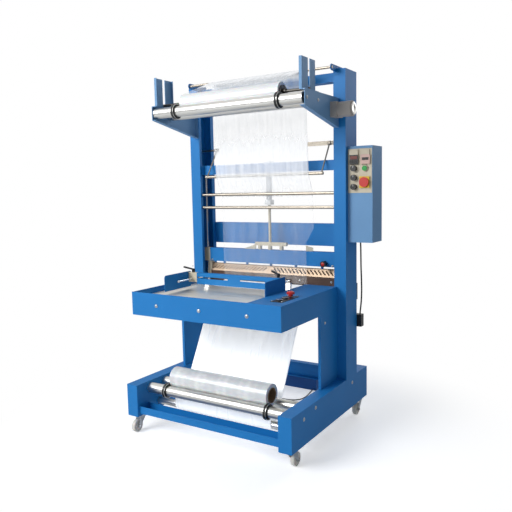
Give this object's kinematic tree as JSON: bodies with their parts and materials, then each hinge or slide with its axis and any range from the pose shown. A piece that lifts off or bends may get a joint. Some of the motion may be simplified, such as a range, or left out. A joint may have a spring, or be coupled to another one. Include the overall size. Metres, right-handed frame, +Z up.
{
  "type": "sleeve sealer",
  "caption": "Floor-standing film sleeve sealer with a lifting heat-seal jaw, two film rolls, a table with a sliding fence, a control box and a foot switch.",
  "frame": {"origin": "middle of the machine's outline on the floor, measured without the foot switch and its cable", "axes": "+Z up, +Y from the operator's side to the back, +X to the operator's right"},
  "size_m": [1.134, 1.224, 1.904],
  "materials": {
    "blue_paint": "blue powder coat",
    "stainless": "brushed stainless sheet",
    "bright_steel": "ground steel bar",
    "chrome_rod": "hard chrome",
    "satin_aluminium": "satin anodised",
    "clear_film": "clear shrink film",
    "beige_blocks": "warm grey plate",
    "black_plastic": "moulded black",
    "red_plastic": "red moulded",
    "blue_plastic": "blue moulded",
    "green_plastic": "green lens",
    "grey_casting": "grey-brown casting",
    "brown_band": "coated glass cloth",
    "dark_rubber": "silicone strip on steel",
    "black_rubber": "black jacket",
    "zinc_steel": "zinc plated",
    "white_nylon": "white nylon"
  },
  "bodies": {
    "machine_frame": {"air_hose": "black_rubber", "base_frame": "blue_paint", "button_plate": "black_plastic", "cable_gland": "black_plastic", "columns": "blue_paint", "control_box": "blue_paint", "control_panel": "beige_blocks", "cross_beams": "blue_paint", "cylinder": "satin_aluminium", "fence_rods": "bright_steel", "film_brackets": "blue_paint", "film_tubes": "bright_steel", "film_web_lower": "clear_film", "film_web_upper": "clear_film", "gear_motor": "grey_casting", "guide_rods": "chrome_rod", "leg_panels": "blue_paint", "lower_jaw": "dark_rubber", "pedal_base": "blue_paint", "pedal_cable": "black_rubber", "rod_brackets": "blue_paint", "table_plate": "stainless", "table_tray": "blue_paint", "valve_block": "black_plastic"},
    "jaw": {"jaw_beam": "blue_paint", "jaw_cover": "stainless", "jaw_band": "brown_band", "jaw_yoke": "beige_blocks", "jaw_bearings": "beige_blocks", "jaw_knob": "black_plastic"},
    "dancer_arm": {"dancer": "bright_steel"},
    "front_lower_roller": {"bottom_roller_front": "satin_aluminium"},
    "rear_lower_roller": {"bottom_roller_rear": "satin_aluminium"},
    "idler": {"idler_roller": "satin_aluminium"},
    "lower_roll": {"film_roll_bottom": "clear_film"},
    "front_upper_roller": {"top_roller_front": "satin_aluminium"},
    "rear_upper_roller": {"top_roller_rear": "satin_aluminium"},
    "upper_roll": {"film_roll_top": "clear_film", "film_shaft": "bright_steel"},
    "fence_slider": {"fence": "blue_paint", "fence_blocks": "beige_blocks"},
    "left_lever": {"lever_left": "black_plastic"},
    "right_lever": {"lever_right": "black_plastic"},
    "front_button": {"push_button_front": "blue_plastic"},
    "rear_button": {"push_button_rear": "blue_plastic"},
    "stop_button": {"emergency_stop": "red_plastic"},
    "timer_upper": {"dial_upper": "black_plastic"},
    "timer_middle": {"dial_middle": "black_plastic"},
    "timer_lower": {"dial_lower": "black_plastic"},
    "switch_knob": {"main_switch": "red_plastic"},
    "lamp_button": {"green_button": "green_plastic"},
    "treadle": {"pedal_treadle": "satin_aluminium"},
    "swivel_front_left": {"caster_fork_front_left": "zinc_steel"},
    "wheel_front_left": {"caster_wheel_front_left": "white_nylon"},
    "swivel_front_right": {"caster_fork_front_right": "zinc_steel"},
    "wheel_front_right": {"caster_wheel_front_right": "white_nylon"},
    "swivel_rear_left": {"caster_fork_rear_left": "zinc_steel"},
    "wheel_rear_left": {"caster_wheel_rear_left": "white_nylon"},
    "swivel_rear_right": {"caster_fork_rear_right": "zinc_steel"},
    "wheel_rear_right": {"caster_wheel_rear_right": "white_nylon"}
  },
  "joints": [
    {"name": "jaw_lift", "type": "slide", "parent": "machine_frame", "child": "jaw", "axis": [0, 0, 1], "range_m": [0, 0.2]},
    {"name": "dancer_swing", "type": "hinge", "parent": "machine_frame", "child": "dancer_arm", "pos_m": [-0.067, 0.2505, 1.525], "axis": [1, 0, 0], "range_deg": [-30, 0], "deforming": ["film_web_upper"]},
    {"name": "lower_roll_spin", "type": "hinge", "parent": "machine_frame", "child": "lower_roll", "pos_m": [-0.067, -0.281, 0.28863], "axis": [1, 0, 0], "continuous": true},
    {"name": "front_lower_roller_spin", "type": "hinge", "parent": "machine_frame", "child": "front_lower_roller", "pos_m": [-0.067, -0.341, 0.228], "axis": [1, 0, 0], "continuous": true},
    {"name": "rear_lower_roller_spin", "type": "hinge", "parent": "machine_frame", "child": "rear_lower_roller", "pos_m": [-0.067, -0.221, 0.228], "axis": [1, 0, 0], "continuous": true},
    {"name": "idler_spin", "type": "hinge", "parent": "machine_frame", "child": "idler", "pos_m": [-0.067, -0.2735, 0.136], "axis": [1, 0, 0], "continuous": true},
    {"name": "upper_roll_spin", "type": "hinge", "parent": "machine_frame", "child": "upper_roll", "pos_m": [-0.067, -0.1315, 1.75202], "axis": [1, 0, 0], "continuous": true},
    {"name": "front_upper_roller_spin", "type": "hinge", "parent": "machine_frame", "child": "front_upper_roller", "pos_m": [-0.067, -0.1895, 1.704], "axis": [1, 0, 0], "continuous": true},
    {"name": "rear_upper_roller_spin", "type": "hinge", "parent": "machine_frame", "child": "rear_upper_roller", "pos_m": [-0.067, -0.0735, 1.704], "axis": [1, 0, 0], "continuous": true},
    {"name": "fence_slide", "type": "slide", "parent": "machine_frame", "child": "fence_slider", "axis": [0, 1, 0], "range_m": [-0.02, 0.085]},
    {"name": "left_lever_turn", "type": "hinge", "parent": "fence_slider", "child": "left_lever", "pos_m": [-0.392, -0.069, 0.84], "axis": [0, 0, 1], "range_deg": [-80, 80]},
    {"name": "right_lever_turn", "type": "hinge", "parent": "fence_slider", "child": "right_lever", "pos_m": [0.148, -0.049, 0.84], "axis": [0, 0, 1], "range_deg": [-80, 80]},
    {"name": "front_button_press", "type": "slide", "parent": "machine_frame", "child": "front_button", "axis": [0, 0, -1], "range_m": [0, 0.004], "stiffness_N_per_m": 400, "springref_m": -0.003},
    {"name": "rear_button_press", "type": "slide", "parent": "machine_frame", "child": "rear_button", "axis": [0, 0, -1], "range_m": [0, 0.004], "stiffness_N_per_m": 400, "springref_m": -0.003},
    {"name": "emergency_stop_press", "type": "slide", "parent": "machine_frame", "child": "stop_button", "axis": [0, 0, -1], "range_m": [0, 0.004]},
    {"name": "timer_upper_turn", "type": "hinge", "parent": "machine_frame", "child": "timer_upper", "pos_m": [0.469, 0.1885, 1.384], "axis": [0, 1, 0], "range_deg": [-150, 150]},
    {"name": "timer_middle_turn", "type": "hinge", "parent": "machine_frame", "child": "timer_middle", "pos_m": [0.469, 0.1885, 1.337], "axis": [0, 1, 0], "range_deg": [-150, 150]},
    {"name": "timer_lower_turn", "type": "hinge", "parent": "machine_frame", "child": "timer_lower", "pos_m": [0.469, 0.1885, 1.29], "axis": [0, 1, 0], "range_deg": [-150, 150]},
    {"name": "main_switch_turn", "type": "hinge", "parent": "machine_frame", "child": "switch_knob", "pos_m": [0.527, 0.1885, 1.313], "axis": [0, 1, 0], "range_deg": [0, 90]},
    {"name": "lamp_button_press", "type": "slide", "parent": "machine_frame", "child": "lamp_button", "axis": [0, 1, 0], "range_m": [0, 0.004], "stiffness_N_per_m": 400, "springref_m": -0.003},
    {"name": "treadle_press", "type": "hinge", "parent": "machine_frame", "child": "treadle", "pos_m": [-0.067, 0.7545, 0.118], "axis": [1, 0, 0], "range_deg": [0, 4.5], "stiffness_Nm_per_rad": 25, "springref_deg": -5.73},
    {"name": "swivel_front_left_turn", "type": "hinge", "parent": "machine_frame", "child": "swivel_front_left", "pos_m": [-0.532, -0.3865, 0.09], "axis": [0, 0, 1], "continuous": true},
    {"name": "wheel_front_left_roll", "type": "hinge", "parent": "swivel_front_left", "child": "wheel_front_left", "pos_m": [-0.532, -0.4215, 0.034], "axis": [1, 0, 0], "continuous": true},
    {"name": "swivel_front_right_turn", "type": "hinge", "parent": "machine_frame", "child": "swivel_front_right", "pos_m": [0.398, -0.3865, 0.09], "axis": [0, 0, 1], "continuous": true},
    {"name": "wheel_front_right_roll", "type": "hinge", "parent": "swivel_front_right", "child": "wheel_front_right", "pos_m": [0.398, -0.3515, 0.034], "axis": [1, 0, 0], "continuous": true},
    {"name": "swivel_rear_left_turn", "type": "hinge", "parent": "machine_frame", "child": "swivel_rear_left", "pos_m": [-0.532, 0.4145, 0.09], "axis": [0, 0, 1], "continuous": true},
    {"name": "wheel_rear_left_roll", "type": "hinge", "parent": "swivel_rear_left", "child": "wheel_rear_left", "pos_m": [-0.532, 0.3795, 0.034], "axis": [1, 0, 0], "continuous": true},
    {"name": "swivel_rear_right_turn", "type": "hinge", "parent": "machine_frame", "child": "swivel_rear_right", "pos_m": [0.398, 0.4145, 0.09], "axis": [0, 0, 1], "continuous": true},
    {"name": "wheel_rear_right_roll", "type": "hinge", "parent": "swivel_rear_right", "child": "wheel_rear_right", "pos_m": [0.398, 0.3795, 0.034], "axis": [1, 0, 0], "continuous": true}
  ],
  "couplings": [
    {"joint": "front_lower_roller_spin", "follows": "lower_roll_spin", "ratio": -2.0357},
    {"joint": "rear_lower_roller_spin", "follows": "lower_roll_spin", "ratio": -2.0357},
    {"joint": "idler_spin", "follows": "lower_roll_spin", "ratio": 2.85},
    {"joint": "front_upper_roller_spin", "follows": "upper_roll_spin", "ratio": -1.6786},
    {"joint": "rear_upper_roller_spin", "follows": "upper_roll_spin", "ratio": -1.6786}
  ]
}
